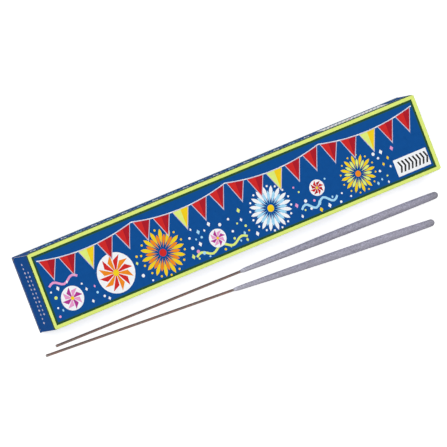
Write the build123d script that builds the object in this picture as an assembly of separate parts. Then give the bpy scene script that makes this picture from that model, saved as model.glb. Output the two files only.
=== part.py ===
from build123d import *
import math
import os

# All sizes in millimetres. The carton lies on its back panel, its length along X,
# its front panel facing +Z. Every sparkler has its coated head toward +X.

# Sparkler: a wire dipped over its front half
SPARKLER_LENGTH = 150.0
COAT_LENGTH = 78.0
WIRE_DIAMETER = 0.9
WIRE_BEND_RADIUS = 20.0
COAT_LIP = 0.03
COAT_NECK = 1.5
COAT_NECK_DIAMETER = 1.6
COAT_SWELL_AT = 56.0
COAT_DIAMETER = 3.0
COAT_TIP_DIAMETER = 2.54
COAT_TIP_COVER = 0.9

# Carton outside and its board
CARTON_WIDTH = 27.3
CARTON_DEPTH = 14.5
BOARD = 0.4
FOLD_RADIUS = 0.6
HANDLE_END_ROOM = 1.4
HEAD_END_ROOM = 1.4
GLUE_FLAP_WIDTH = 10.0
GLUE_FLAP_SETBACK = 8.0
SEAM_STEP = 0.1
SEAM_DEPTH = 0.35

# End closures
TUCK_LENGTH = 5.0
TUCK_CORNER_RADIUS = 2.5
DUST_FLAP_LENGTH = 9.5
DUST_FLAP_CREASE_SLOPE = 0.72
DUST_FLAP_TUCK_SLOPE = 0.16
DUST_FLAP_CORNER_RADIUS = 0.8

# Clearances
CREASE_GAP = 0.08
LAYER_GAP = 0.12
FLAP_SIDE_GAP = 0.3
TUCK_SIDE_GAP = 0.4
TUCK_UNDER_GAP = 0.45
TUCK_OVER_GAP = 0.35
DUST_FLAP_TOP_GAP = 0.35
PACK_SIDE_GAP = 0.35
PACK_UNDER_GAP = 0.15
PACK_TOUCH_GAP = 0.1
TABLE_GAP = 0.02

# Packed sparklers: a lower row, and an upper row in some of its valleys.
# Each number is how far a sparkler has slid toward the handle end.
LOWER_SLIDES = (0.0, 0.15, 0.05, 0.2, 0.1)
UPPER_SLIDES = {0: 0.1, 1: 0.0, 3: 0.2}

# Loose pair on the table: place of each handle's end from the carton's near left corner,
# and in degrees how far the handle points away from the carton and how the wire bends at the coat
LOOSE_1_INSET = 3.5
LOOSE_1_AWAY = 6.17
LOOSE_1_TURN_ANGLE = 0.62
LOOSE_1_BEND_ANGLE = 0.56
LOOSE_2_OVERHANG = 1.1
LOOSE_2_AWAY = 7.9
LOOSE_2_TURN_ANGLE = 3.12
LOOSE_2_BEND_ANGLE = 0.59

handle_length = SPARKLER_LENGTH - COAT_LENGTH
wire_radius = WIRE_DIAMETER / 2
coat_radius = COAT_DIAMETER / 2
tip_radius = COAT_TIP_DIAMETER / 2

half_board = BOARD / 2
end_x = (HANDLE_END_ROOM + SPARKLER_LENGTH + HEAD_END_ROOM) / 2
side_y = CARTON_WIDTH / 2
crease_z = CARTON_DEPTH - half_board
flap_x = -end_x + half_board
flap_half = side_y - FLAP_SIDE_GAP
dust_x = flap_x + BOARD + LAYER_GAP
dust_y = -side_y + half_board
front_end = end_x - BOARD - CREASE_GAP
side_end = -dust_x - half_board - CREASE_GAP
glue_face = -side_y + 2 * BOARD
tuck_x = -end_x + BOARD
tuck_z = BOARD + TUCK_UNDER_GAP + BOARD
tuck_half = -glue_face - TUCK_SIDE_GAP


def block(x0, x1, y0, y1, z0, z1):
    return Pos((x0 + x1) / 2, (y0 + y1) / 2, (z0 + z1) / 2) * Box(x1 - x0, y1 - y0, z1 - z0)


# Carton sleeve: one sheet folded round four corners
middle = Plane.YZ * Pos(0, CARTON_DEPTH / 2)
outside = middle * RectangleRounded(CARTON_WIDTH, CARTON_DEPTH, FOLD_RADIUS)
inside = middle * RectangleRounded(
    CARTON_WIDTH - 2 * BOARD, CARTON_DEPTH - 2 * BOARD, FOLD_RADIUS - BOARD
)
sleeve = extrude(outside - inside, end_x, both=True)

# At the near back corner the side panel ends in a cut edge, outside the fold of the glue flap
seam_y = -side_y + BOARD + FOLD_RADIUS
sleeve -= block(-end_x, end_x, -side_y, seam_y, 0, FOLD_RADIUS)
sleeve += block(-end_x, end_x, -side_y, -side_y + BOARD, SEAM_STEP, FOLD_RADIUS)
fold_at = Plane.YZ * Pos(seam_y, FOLD_RADIUS)
fold_ring = fold_at * (Circle(FOLD_RADIUS) - Circle(FOLD_RADIUS - BOARD))
fold = extrude(fold_ring, end_x, both=True)
sleeve += fold & block(-end_x, end_x, -side_y, seam_y, 0, FOLD_RADIUS)
sleeve += block(-end_x, end_x, -side_y + BOARD, glue_face, SEAM_DEPTH, FOLD_RADIUS)

glue_high = FOLD_RADIUS + GLUE_FLAP_WIDTH
glue_outline = Polyline(
    (-end_x, FOLD_RADIUS),
    (end_x, FOLD_RADIUS),
    (end_x - GLUE_FLAP_SETBACK, glue_high),
    (-end_x + GLUE_FLAP_SETBACK, glue_high),
    close=True,
)
glue_plane = Plane.XZ.offset(side_y - BOARD)
sleeve += extrude(glue_plane * make_face(glue_outline), -BOARD)

# The front panel stops at the end flaps' creases, the side panels at the dust flaps' creases,
# and the back panel runs on under the tuck flaps
front_cut = block(front_end, end_x, -side_y, side_y, CARTON_DEPTH - FOLD_RADIUS, CARTON_DEPTH)
side_cut = block(side_end, end_x, -side_y, side_y, FOLD_RADIUS, CARTON_DEPTH - FOLD_RADIUS)
for cut in (front_cut, side_cut):
    sleeve -= cut
    sleeve -= mirror(cut, about=Plane.YZ)

parts = {"carton_sleeve": sleeve}

# Left end flap: hangs from the front panel and turns about the middle of its board
end_flap = block(
    -end_x, -end_x + BOARD, -flap_half, flap_half, tuck_z + CREASE_GAP, crease_z
)
end_flap += Pos(flap_x, 0, crease_z) * Rot(90, 0, 0) * Cylinder(half_board, 2 * flap_half)

# Left tuck flap: lies on the back panel and turns about the inner side of its fold
tuck_plate = block(
    tuck_x, tuck_x + TUCK_LENGTH, -tuck_half, tuck_half, tuck_z - BOARD, tuck_z
)
tuck_corners = tuck_plate.edges().filter_by(Axis.Z).group_by(Axis.X)[-1]
tuck_flap = fillet(tuck_corners, TUCK_CORNER_RADIUS)
tuck_round = Pos(tuck_x, 0, tuck_z) * Rot(90, 0, 0) * Cylinder(BOARD, 2 * tuck_half)
tuck_flap += tuck_round & block(
    -end_x, tuck_x, -tuck_half, tuck_half, tuck_z - BOARD, tuck_z
)

# Left dust flap on the near side panel: mitred so that the end flap and tuck flap pass it
dust_low = tuck_z + TUCK_OVER_GAP
dust_high = CARTON_DEPTH - BOARD - DUST_FLAP_TOP_GAP
dust_tip = dust_y + DUST_FLAP_LENGTH
dust_outline = Polyline(
    (dust_y, dust_low),
    (dust_tip, dust_low + DUST_FLAP_LENGTH * DUST_FLAP_TUCK_SLOPE),
    (dust_tip, dust_high - DUST_FLAP_LENGTH * DUST_FLAP_CREASE_SLOPE),
    (dust_y, dust_high),
    close=True,
)
dust_face = Plane.YZ.offset(dust_x) * make_face(dust_outline)
dust_plate = extrude(dust_face, half_board, both=True)
dust_corners = dust_plate.edges().filter_by(Axis.X).group_by(Axis.Y)[-1]
dust_near = fillet(dust_corners, DUST_FLAP_CORNER_RADIUS)
dust_crease = Cylinder(half_board, dust_high - dust_low)
dust_near += Pos(dust_x, dust_y, (dust_low + dust_high) / 2) * dust_crease

left_end = {
    "end_flap": end_flap,
    "tuck_flap": tuck_flap,
    "dust_flap_near": dust_near,
    "dust_flap_far": mirror(dust_near, about=Plane.XZ),
}
for name, solid in left_end.items():
    parts["left_" + name] = solid
    parts["right_" + name] = mirror(solid, about=Plane.YZ)


# Coat: swells slowly from a thin neck, is thickest past its middle and ends in a round drop
def coat_body():
    neck = (COAT_NECK, COAT_NECK_DIAMETER / 2)
    swell = (COAT_SWELL_AT, coat_radius)
    shoulder = (COAT_LENGTH - tip_radius, tip_radius)
    tip = (COAT_LENGTH, 0)
    profile = Polyline(tip, (0, 0), (0, wire_radius + COAT_LIP), neck)
    profile += TangentArc(swell, neck, tangent=(-1, 0))
    profile += TangentArc(swell, shoulder, tangent=(1, 0))
    profile += TangentArc(shoulder, tip, tangent=(1, 0))
    return revolve(make_face(profile), Axis.X.reverse())


# Wire and coat of a sparkler whose handle runs along X from the origin
def sparkler(bend):
    turn = math.radians(bend)
    straight = handle_length - WIRE_BEND_RADIUS * turn
    path = Line((0, 0), (straight, 0))
    if bend:
        path += CenterArc((straight, -WIRE_BEND_RADIUS), WIRE_BEND_RADIUS, 90, -bend)
    coat_start = path @ 1
    head = (COAT_LENGTH - COAT_TIP_COVER) * Vector(math.cos(turn), -math.sin(turn))
    path += Line(coat_start, coat_start + head)
    wire = sweep(Plane.YZ * Circle(wire_radius), path=path)
    coat = Pos(coat_start) * Rot(0, 0, -bend) * coat_body() - wire
    return wire, coat


# A sparkler at rest touches on the thickest part of its coat and on the end of its handle
def at_rest(x, y, z, turn, coat_lift):
    rise = coat_radius - wire_radius + coat_lift
    tilt = math.degrees(math.asin(rise / (handle_length + COAT_SWELL_AT)))
    return Pos(x, y, z + wire_radius) * Rot(0, 0, turn) * Rot(0, -tilt, 0)


# Two loose sparklers lie on the table
loose_pair = (
    (LOOSE_1_INSET, LOOSE_1_AWAY, LOOSE_1_TURN_ANGLE, LOOSE_1_BEND_ANGLE),
    (-LOOSE_2_OVERHANG, LOOSE_2_AWAY, LOOSE_2_TURN_ANGLE, LOOSE_2_BEND_ANGLE),
)
for number, (along, away, turn, bend) in enumerate(loose_pair, 1):
    wire, coat = sparkler(bend)
    place = at_rest(-end_x + along, -side_y - away, TABLE_GAP, -turn, 0)
    parts[f"loose_sparkler_{number}_wire"] = place * wire
    parts[f"loose_sparkler_{number}_coat"] = place * coat

# The others lie in the carton, on its tuck flaps
row_near = glue_face + PACK_SIDE_GAP + coat_radius
row_far = side_y - BOARD - PACK_SIDE_GAP - coat_radius
pitch = (row_far - row_near) / (len(LOWER_SLIDES) - 1)
reach = COAT_DIAMETER + PACK_TOUCH_GAP
valley_lift = math.sqrt(max(0, reach**2 - (pitch / 2) ** 2))
packed = [(index, slide, 0) for index, slide in enumerate(LOWER_SLIDES)]
packed += [(valley + 0.5, slide, valley_lift) for valley, slide in UPPER_SLIDES.items()]

wire, coat = sparkler(0)
for number, (index, slide, lift) in enumerate(packed, 1):
    x = -end_x + HANDLE_END_ROOM - slide
    place = at_rest(x, row_near + index * pitch, tuck_z + PACK_UNDER_GAP, 0, lift)
    parts[f"packed_sparkler_{number}_wire"] = place * wire
    parts[f"packed_sparkler_{number}_coat"] = place * coat

os.makedirs("parts", exist_ok=True)
for name, solid in parts.items():
    export_step(solid, f"parts/{name}.step")
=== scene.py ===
# %% [markdown]
# # A carton of sparklers
# The object is a printed folding carton with eight sparklers in it, and two more in front of it. The
# imported CAD model is loaded first, as a fixed frame in metres. Each piece made here in the place of a
# CAD solid rides on the same body, so it moves as that solid does.

# %% Load the frame
import math
import random

import bpy
import numpy as np
from mathutils import Matrix, Vector, noise
from mathutils.geometry import delaunay_2d_cdt


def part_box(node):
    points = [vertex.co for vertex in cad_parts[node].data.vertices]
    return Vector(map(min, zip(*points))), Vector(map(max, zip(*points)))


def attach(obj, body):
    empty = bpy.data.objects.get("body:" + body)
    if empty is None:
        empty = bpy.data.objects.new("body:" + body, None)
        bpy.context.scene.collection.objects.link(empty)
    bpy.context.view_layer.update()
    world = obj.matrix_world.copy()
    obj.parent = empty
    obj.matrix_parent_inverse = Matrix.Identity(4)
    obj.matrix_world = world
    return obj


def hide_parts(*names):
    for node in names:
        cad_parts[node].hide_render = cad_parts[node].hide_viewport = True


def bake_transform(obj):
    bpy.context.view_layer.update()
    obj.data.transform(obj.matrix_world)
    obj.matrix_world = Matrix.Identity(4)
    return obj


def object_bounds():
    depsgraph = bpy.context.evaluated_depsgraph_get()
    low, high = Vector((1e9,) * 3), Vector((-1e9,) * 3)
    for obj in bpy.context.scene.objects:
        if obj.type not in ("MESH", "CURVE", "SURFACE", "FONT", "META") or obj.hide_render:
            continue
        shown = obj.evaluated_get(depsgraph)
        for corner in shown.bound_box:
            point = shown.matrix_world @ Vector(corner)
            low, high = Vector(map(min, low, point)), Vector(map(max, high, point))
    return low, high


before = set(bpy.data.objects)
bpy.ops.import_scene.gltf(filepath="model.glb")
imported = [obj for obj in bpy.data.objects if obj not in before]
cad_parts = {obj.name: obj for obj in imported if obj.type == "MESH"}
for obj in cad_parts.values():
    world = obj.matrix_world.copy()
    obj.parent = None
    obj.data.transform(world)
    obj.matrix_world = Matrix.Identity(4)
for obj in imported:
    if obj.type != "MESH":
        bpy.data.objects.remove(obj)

cad_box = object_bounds()
scene = bpy.context.scene
MM = 0.001
print("CAD box, mm:", [round(size / MM, 2) for size in cad_box[1] - cad_box[0]])

# %% [markdown]
# ## Colour
# Colours are written as people pick them, as sRGB hex values. A shader works with linear light, so one
# function turns the one into the other, and every material uses it.


# %% Hex to linear
def linear(hex_colour):
    def channel(pair):
        value = int(pair, 16) / 255
        if value <= 0.04045:
            return value / 12.92
        return ((value + 0.055) / 1.055) ** 2.4

    return tuple(channel(hex_colour[i : i + 2]) for i in (1, 3, 5)) + (1.0,)


print("mid grey is", round(linear("#808080")[0], 3), "in linear light")

# %% [markdown]
# ## Camera
# The carton was photographed from far away with a long lens, from above its front panel and a little to
# the left. Its corners fix where that camera stood, so the camera is set by its place and its two
# directions across the picture, and not by eye.

# %% Camera
PICTURE = 447
FOCAL_PIXELS = 12838.3
camera_place = Vector((-1.628256, 0.328615, 4.030174))
across = Vector((0.856000, -0.355680, 0.375175))
upward = Vector((0.357391, 0.931500, 0.067673))
backward = across.cross(upward)

camera_data = bpy.data.cameras.new("studio_camera")
camera_data.sensor_width = 36.0
camera_data.lens = FOCAL_PIXELS / PICTURE * camera_data.sensor_width
camera = bpy.data.objects.new("studio_camera", camera_data)
aim = Matrix((across, upward, backward)).transposed().to_4x4()
camera.matrix_world = Matrix.Translation(camera_place) @ aim
scene.collection.objects.link(camera)
scene.camera = camera
print("lens, mm:", round(camera_data.lens))

# %% [markdown]
# ## One small tool for materials
# A material is a tree of nodes. This function adds one node, makes its settings and fills its inputs: an
# input that is given a socket is linked, and any other is set to the value.


# %% Add a node
def add_node(tree, kind, inputs=None, **settings):
    node = tree.nodes.new(kind)
    for name, value in settings.items():
        setattr(node, name, value)
    for name, value in (inputs or {}).items():
        if isinstance(value, bpy.types.NodeSocket):
            tree.links.new(value, node.inputs[name])
        else:
            node.inputs[name].default_value = value
    return node


def start_material(name):
    material = bpy.data.materials.new(name)
    material.use_nodes = True
    material.node_tree.nodes.clear()
    return material, material.node_tree


# The numbers of a colour Mix node's sockets, whose names are used more than once in it
MIX_FACTOR, MIX_FIRST, MIX_SECOND, MIX_RESULT = 0, 6, 7, 2

# %% [markdown]
# ## Light and floor
# A product picture on white has soft light from all round and one wide lamp above. The world gives the
# even part. Sun lamps with a wide angle give the rest, because a sun lights the floor evenly to the
# horizon. To the camera, and in reflections, world and floor are plain white, and the floor still takes
# the object's soft shadow.


# %% What the eye sees directly or in a mirror
def seen_rays(tree):
    path = add_node(tree, "ShaderNodeLightPath").outputs
    pair = {0: path["Is Camera Ray"], 1: path["Is Glossy Ray"]}
    either = add_node(tree, "ShaderNodeMath", pair, operation="MAXIMUM")
    pair = {0: either.outputs[0], 1: path["Is Transmission Ray"]}
    return add_node(tree, "ShaderNodeMath", pair, operation="MAXIMUM").outputs[0]


# %% World
AMBIENT = 0.42

scene.view_settings.view_transform = "Standard"
world = bpy.data.worlds.new("white_studio")
world.use_nodes = True
tree = world.node_tree
tree.nodes.clear()
level = add_node(
    tree, "ShaderNodeMapRange", {"Value": seen_rays(tree), "To Min": AMBIENT, "To Max": 1.0}
)
glow = add_node(
    tree,
    "ShaderNodeBackground",
    {"Color": linear("#ffffff"), "Strength": level.outputs["Result"]},
)
add_node(tree, "ShaderNodeOutputWorld", {"Surface": glow.outputs[0]})
scene.world = world
print("world light:", AMBIENT)

# %% Lamps
# Each lamp: the direction it shines from, its power and how wide it looks, in degrees
LAMPS = {
    "wide_lamp_above": ((-0.3, 0.14, 0.944), 1.75, 35),
    "fill_lamp": ((-0.8, 0.1, 0.6), 0.2, 90),
}
for name, (towards, power, spread) in LAMPS.items():
    lamp_data = bpy.data.lights.new(name, "SUN")
    lamp_data.energy = power
    lamp_data.angle = math.radians(spread)
    lamp = bpy.data.objects.new(name, lamp_data)
    lamp.rotation_mode = "QUATERNION"
    lamp.rotation_quaternion = Vector(towards).to_track_quat("Z", "Y")
    scene.collection.objects.link(lamp)
print("lamps:", ", ".join(LAMPS))

# %% Floor
FLOOR_HALF = 20.0
FLOOR_LIFT = 0.4

white_paper, tree = start_material("matt_white_paper_sweep")
lift = add_node(
    tree, "ShaderNodeMapRange", {"Value": seen_rays(tree), "To Min": 0.0, "To Max": FLOOR_LIFT}
)
paper = add_node(
    tree,
    "ShaderNodeBsdfPrincipled",
    {
        "Base Color": linear("#f2f2f2"),
        "Roughness": 1.0,
        "Specular IOR Level": 0.0,
        "Emission Color": linear("#ffffff"),
        "Emission Strength": lift.outputs["Result"],
    },
)
add_node(tree, "ShaderNodeOutputMaterial", {"Surface": paper.outputs[0]})

floor_mesh = bpy.data.meshes.new("floor")
corners = [(-1, -1), (1, -1), (1, 1), (-1, 1)]
floor_z = cad_box[0].z - 0.02 * MM
floor_mesh.from_pydata(
    [(x * FLOOR_HALF, y * FLOOR_HALF, floor_z) for x, y in corners], [], [(0, 1, 2, 3)]
)
floor_mesh.materials.append(white_paper)
floor = bpy.data.objects.new("floor", floor_mesh)
scene.collection.objects.link(floor)
print("floor at", round(floor_z / MM, 3), "mm")

# %% [markdown]
# ## Printed face of the board
# The carton is duplex board: a white clay-coated face, a core of grey pulp and a grey back. The face is
# printed by offset litho and varnished. The ink gives the colour, the varnish a soft shine, and at the
# folds the ink cracks a little, so that some white coating shows.
#
# One material serves every printed face. The colour of the ink comes from a colour attribute of the
# mesh, because the print itself is cut into the mesh further down. The ink's mottle and the board's
# fibres are drawn coarser than the real ones, so that they show.

# %% Ink of the litho print
# Most of a noise texture's values lie in this span
NOISE_SPAN = {"From Min": 0.3, "From Max": 0.7}
INK_MOTTLE_MM = 1.6

litho_print, tree = start_material("varnished_litho_print_on_board")
where = add_node(tree, "ShaderNodeTexCoord").outputs["Object"]
ink = add_node(tree, "ShaderNodeAttribute", attribute_name="ink")
mottle = add_node(
    tree, "ShaderNodeTexNoise", {"Vector": where, "Scale": 1 / (INK_MOTTLE_MM * MM), "Detail": 3.0}
)
density = add_node(
    tree,
    "ShaderNodeMapRange",
    {"Value": mottle.outputs["Fac"], **NOISE_SPAN, "To Min": 0.95, "To Max": 1.03},
)
inked = add_node(
    tree,
    "ShaderNodeVectorMath",
    {0: ink.outputs["Color"], "Scale": density.outputs["Result"]},
    operation="SCALE",
)
print("ink mottle, mm:", INK_MOTTLE_MM)

# %% Cracks at the folds
CRACK_MM = 0.35

fold_wear = add_node(tree, "ShaderNodeAttribute", attribute_name="fold_wear")
crack = add_node(
    tree,
    "ShaderNodeTexNoise",
    {"Vector": where, "Scale": 1 / (CRACK_MM * MM), "Detail": 4.0, "Roughness": 0.65},
)
pair = {0: crack.outputs["Fac"], 1: fold_wear.outputs["Fac"]}
opened = add_node(tree, "ShaderNodeMath", pair, operation="MULTIPLY")
bared = add_node(
    tree,
    "ShaderNodeMapRange",
    {"Value": opened.outputs[0], "From Min": 0.46, "From Max": 0.66, "To Max": 0.7},
)
face = add_node(
    tree,
    "ShaderNodeMix",
    {
        MIX_FACTOR: bared.outputs["Result"],
        MIX_FIRST: inked.outputs[0],
        MIX_SECOND: linear("#e9e9e4"),
    },
    data_type="RGBA",
)
print("cracks, mm:", CRACK_MM)

# %% Varnish over the ink
FIBRE_MM = 0.3

varnish = add_node(
    tree,
    "ShaderNodeMapRange",
    {"Value": mottle.outputs["Fac"], **NOISE_SPAN, "To Min": 0.26, "To Max": 0.4},
)
fibre = add_node(
    tree, "ShaderNodeTexNoise", {"Vector": where, "Scale": 1 / (FIBRE_MM * MM), "Detail": 2.0}
)
relief = add_node(
    tree,
    "ShaderNodeBump",
    {"Height": fibre.outputs["Fac"], "Strength": 0.15, "Distance": 0.02 * MM},
)
surface = add_node(
    tree,
    "ShaderNodeBsdfPrincipled",
    {
        "Base Color": face.outputs[MIX_RESULT],
        "Roughness": 0.8,
        "Specular IOR Level": 0.0,
        "Coat Weight": 0.07,
        "Coat Roughness": varnish.outputs["Result"],
        "Coat IOR": 1.5,
        "Normal": relief.outputs["Normal"],
    },
)
add_node(tree, "ShaderNodeOutputMaterial", {"Surface": surface.outputs[0]})
print("made", litho_print.name)

# %% [markdown]
# ## Back and edges of the board
# The back of duplex board is unbleached recycled pulp, matt and flecked with darker fibres. A cut edge
# shows the same pulp in layers, paler and rougher. One function makes both from their colours.


# %% Grey pulp
def pulp(name, pale, dark, fleck_mm, roughness):
    material, tree = start_material(name)
    where = add_node(tree, "ShaderNodeTexCoord").outputs["Object"]
    fleck = add_node(
        tree,
        "ShaderNodeTexNoise",
        {"Vector": where, "Scale": 1 / (fleck_mm * MM), "Detail": 5.0, "Roughness": 0.7},
    )
    shade = add_node(
        tree,
        "ShaderNodeMapRange",
        {"Value": fleck.outputs["Fac"], "From Min": 0.42, "From Max": 0.66},
    )
    colour = add_node(
        tree,
        "ShaderNodeMix",
        {
            MIX_FACTOR: shade.outputs["Result"],
            MIX_FIRST: linear(pale),
            MIX_SECOND: linear(dark),
        },
        data_type="RGBA",
    )
    relief = add_node(
        tree,
        "ShaderNodeBump",
        {"Height": fleck.outputs["Fac"], "Strength": 0.4, "Distance": 0.03 * MM},
    )
    surface = add_node(
        tree,
        "ShaderNodeBsdfPrincipled",
        {
            "Base Color": colour.outputs[MIX_RESULT],
            "Roughness": roughness,
            "IOR": 1.5,
            "Normal": relief.outputs["Normal"],
        },
    )
    add_node(tree, "ShaderNodeOutputMaterial", {"Surface": surface.outputs[0]})
    return material


grey_back = pulp("unbleached_pulp_back_of_board", "#b9b0a2", "#8f867a", 0.9, 0.9)
cut_edge = pulp("die_cut_edge_of_board", "#f1efeb", "#d6d2cb", 0.25, 0.95)
BOARD_FINISHES = (litho_print, grey_back, cut_edge)
PRINT, BACK, EDGE = range(3)
print("board finishes:", [finish.name for finish in BOARD_FINISHES])

# %% [markdown]
# ## From a flat sheet to a folded board
# A carton is printed flat, cut, creased and only then folded. The mesh is made in the same order. First
# the flat sheet is divided into triangles along every printed outline, which a constrained Delaunay
# triangulation does, and each triangle takes the ink of the topmost shape that covers it. A picture
# texture would be the usual way, but ink cut as geometry stays sharp at any distance.

# %% Inks
INKS = {
    "blue": "#104e93",
    "navy": "#06488d",
    "lime": "#deed7c",
    "green": "#284e34",
    "red": "#cf2c2b",
    "crimson": "#ad1f2c",
    "gold": "#f2cf22",
    "orange": "#ee8a24",
    "sky": "#a5d8f3",
    "lilac": "#c6c2d6",
    "pink": "#e79acb",
    "magenta": "#b03a92",
    "white": "#f3f5f8",
    "cyan": "#1d9fd8",
    "yellow": "#f4e02a",
    "black": "#2a2a2c",
}
INK = {name: linear(value) for name, value in INKS.items()}
print(len(INK), "inks")


# %% Cut a printed sheet
INSIDE_OUTLINES = 1
WELD = 1e-4


def counterclockwise(polygon):
    following = polygon[1:] + polygon[:1]
    doubled_area = sum(a[0] * b[1] - b[0] * a[1] for a, b in zip(polygon, following))
    return polygon if doubled_area > 0 else polygon[::-1]


def cut_sheet(outline, base, shapes=(), guides=(), lattice=0):
    points, lines, faces = [], [], []
    for polygon, _ in [(outline, base), *shapes]:
        first = len(points)
        points += [Vector(point) for point in counterclockwise(list(polygon))]
        faces.append(list(range(first, len(points))))
    for guide in guides:
        first = len(points)
        points += [Vector(point) for point in guide]
        lines += [(i, i + 1) for i in range(first, len(points) - 1)]
    if lattice:
        low, high = np.min(outline, axis=0), np.max(outline, axis=0)
        for u in np.arange(low[0] + lattice, high[0], lattice):
            points += [Vector((u, v)) for v in np.arange(low[1] + lattice, high[1], lattice)]
    inks = [base] + [ink for _, ink in shapes]
    cut = delaunay_2d_cdt(points, lines, faces, INSIDE_OUTLINES, WELD)
    corners, _, triangles, _, _, covers = cut
    kept = [(t, inks[max(c)]) for t, c in zip(triangles, covers) if 0 in c]
    used = sorted({corner for triangle, _ in kept for corner in triangle})
    index = {corner: i for i, corner in enumerate(used)}
    return (
        [tuple(corners[corner]) for corner in used],
        [tuple(index[corner] for corner in triangle) for triangle, _ in kept],
        [ink for _, ink in kept],
    )


# %% [markdown]
# Next the flat triangles get their thickness and their place. The printed side goes where `place` puts
# depth 0, the grey back where it puts the board's thickness, and the open rim between them is closed
# with the cut edge, which is bare pulp unless the flood of ink has run over it.


# %% Ink, wear and which way the faces look
def paint(mesh, faces, inks, worn):
    shown = [channel for face, ink in zip(faces, inks) for _ in face for channel in INK[ink]]
    mesh.attributes.new("ink", "FLOAT_COLOR", "CORNER").data.foreach_set("color", shown)
    mesh.attributes.new("fold_wear", "FLOAT", "POINT").data.foreach_set("value", worn)


def faces_inward(points, faces):
    xyz = np.array(points)
    fans = np.array([(f[0], f[i - 1], f[i]) for f in faces for i in range(2, len(f))])
    one, two, three = (xyz[fans[:, i]] for i in range(3))
    return np.sum(one * np.cross(two, three)) < 0


# %% Make a board piece
BOARD = 0.4
SHARP_FOLD = math.radians(35)


def no_wear(u, v):
    return 0.0


def board_piece(name, sheet, place, thickness=BOARD, wear=no_wear, edge_ink=None):
    flat, triangles, inks = sheet
    count = len(flat)
    points = [place(u, v, depth) for depth in (0.0, thickness) for u, v in flat]
    sides = {(t[i], t[i - 2]) for t in triangles for i in range(3)}
    rim = sorted((a, b) for a, b in sides if (b, a) not in sides)
    faces = list(triangles)
    faces += [tuple(corner + count for corner in reversed(t)) for t in triangles]
    faces += [(b, a, a + count, b + count) for a, b in rim]

    mesh = bpy.data.meshes.new(name)
    mesh.from_pydata([Vector(point) * MM for point in points], [], faces)
    for finish in BOARD_FINISHES:
        mesh.materials.append(finish)
    edge_finish = PRINT if edge_ink else EDGE
    finishes = [PRINT] * len(triangles) + [BACK] * len(triangles) + [edge_finish] * len(rim)
    mesh.polygons.foreach_set("material_index", finishes)
    inks = inks + ["white"] * len(triangles) + [edge_ink or "white"] * len(rim)
    paint(mesh, faces, inks, [wear(u, v) for u, v in flat] * 2)
    if faces_inward(points, faces):
        mesh.flip_normals()
    mesh.shade_smooth()
    mesh.set_sharp_from_angle(angle=SHARP_FOLD)
    piece = bpy.data.objects.new(name, mesh)
    scene.collection.objects.link(piece)
    return piece


# %% [markdown]
# Last, the folds. A crease doesn't make a knife edge: the board goes round a small radius. `folded`
# walks along the printed face, straight run by straight run with a quarter turn after each, and answers
# where a point at a given distance lies and which way is inward there.


# %% Walk round the folds
def folded(start, heading, runs, radius):
    walk, at = [], 0.0
    place, along = Vector(start), Vector(heading)
    inward = Vector((along.y, -along.x))
    quarter = radius * math.pi / 2
    for number, run in enumerate(runs):
        walk.append((at, run, False, place.copy(), along.copy(), inward.copy()))
        at, place = at + run, place + along * run
        if number < len(runs) - 1:
            walk.append((at, quarter, True, place.copy(), along.copy(), inward.copy()))
            place = place + (along + inward) * radius
            at, along, inward = at + quarter, inward, -along

    def follow(distance, depth=0.0):
        spot = next((w for w in reversed(walk) if distance >= w[0]), walk[0])
        begun, _, turning, place, along, inward = spot
        if not turning:
            return place + along * (distance - begun) + inward * depth
        angle = (distance - begun) / radius
        facing = inward * math.cos(angle) - along * math.sin(angle)
        return place + inward * radius - facing * (radius - depth)

    return follow, [(w[0], w[0] + w[1]) for w in walk]


# %% [markdown]
# ## Motifs of the print
# The print is a plain party pattern: bunting, firework blooms, paper windmills, streamers and confetti.
# Each motif is a function that gives polygons with their inks, in millimetres, the lowest first.


# %% Small shapes
def polar(x, y, radius, angle):
    return x + radius * math.cos(angle), y + radius * math.sin(angle)


def disc(x, y, radius, sides=14):
    return [polar(x, y, radius, 2 * math.pi * i / sides) for i in range(sides)]


def bar(x0, x1, y0, y1):
    return [(x0, y0), (x1, y0), (x1, y1), (x0, y1)]


def lozenge(x, y, width, height):
    return [(x - width / 2, y), (x, y - height / 2), (x + width / 2, y), (x, y + height / 2)]


# A power above 1 moves a petal's widest part outward
PETAL_POWER = 1.7


def petal(x, y, angle, near, far, width, steps=6):
    out = Vector((math.cos(angle), math.sin(angle)))
    side = Vector((-math.sin(angle), math.cos(angle)))
    edge = []
    for i in range(steps + 1):
        t = i / steps
        half = width / 2 * math.sin(math.pi * t**PETAL_POWER)
        edge.append((out * (near + (far - near) * t), side * half))
    points = [along + half for along, half in edge]
    points += [along - half for along, half in edge[-2:0:-1]]
    return [(x + p.x, y + p.y) for p in points]


def ribbon(points, width):
    path = [Vector(p) for p in points]
    left, right = [], []
    for i, p in enumerate(path):
        along = (path[min(i + 1, len(path) - 1)] - path[max(i - 1, 0)]).normalized()
        side = Vector((-along.y, along.x)) * width / 2
        left.append(tuple(p + side))
        right.append(tuple(p - side))
    return left + right[::-1]


# %% Bloom and windmill
# Shares of a motif's radius: a petal's near end, far end and width, then sparks, heart and sails
LONG_PETAL, SHORT_PETAL = (0.3, 1.0, 0.17), (0.22, 0.78, 0.15)
SPARK_AT, SPARK, HEART = 0.98, 0.05, 0.16
SAIL_TIP, SAIL_HEEL = 0.92, 0.62
# How much of the way to the next sail a sail's heel reaches
SAIL_TURN = 0.8


def bloom(x, y, radius, inks, count):
    shapes = []
    for i in range(count):
        angle = 2 * math.pi * i / count
        between = angle + math.pi / count
        long_petal = petal(x, y, angle, *(radius * share for share in LONG_PETAL))
        short_petal = petal(x, y, between, *(radius * share for share in SHORT_PETAL))
        spark = disc(*polar(x, y, radius * SPARK_AT, between), radius * SPARK, 8)
        shapes += [(long_petal, inks[0]), (short_petal, inks[1]), (spark, inks[0])]
    shapes.append((disc(x, y, radius * HEART), inks[2]))
    return shapes


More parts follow.
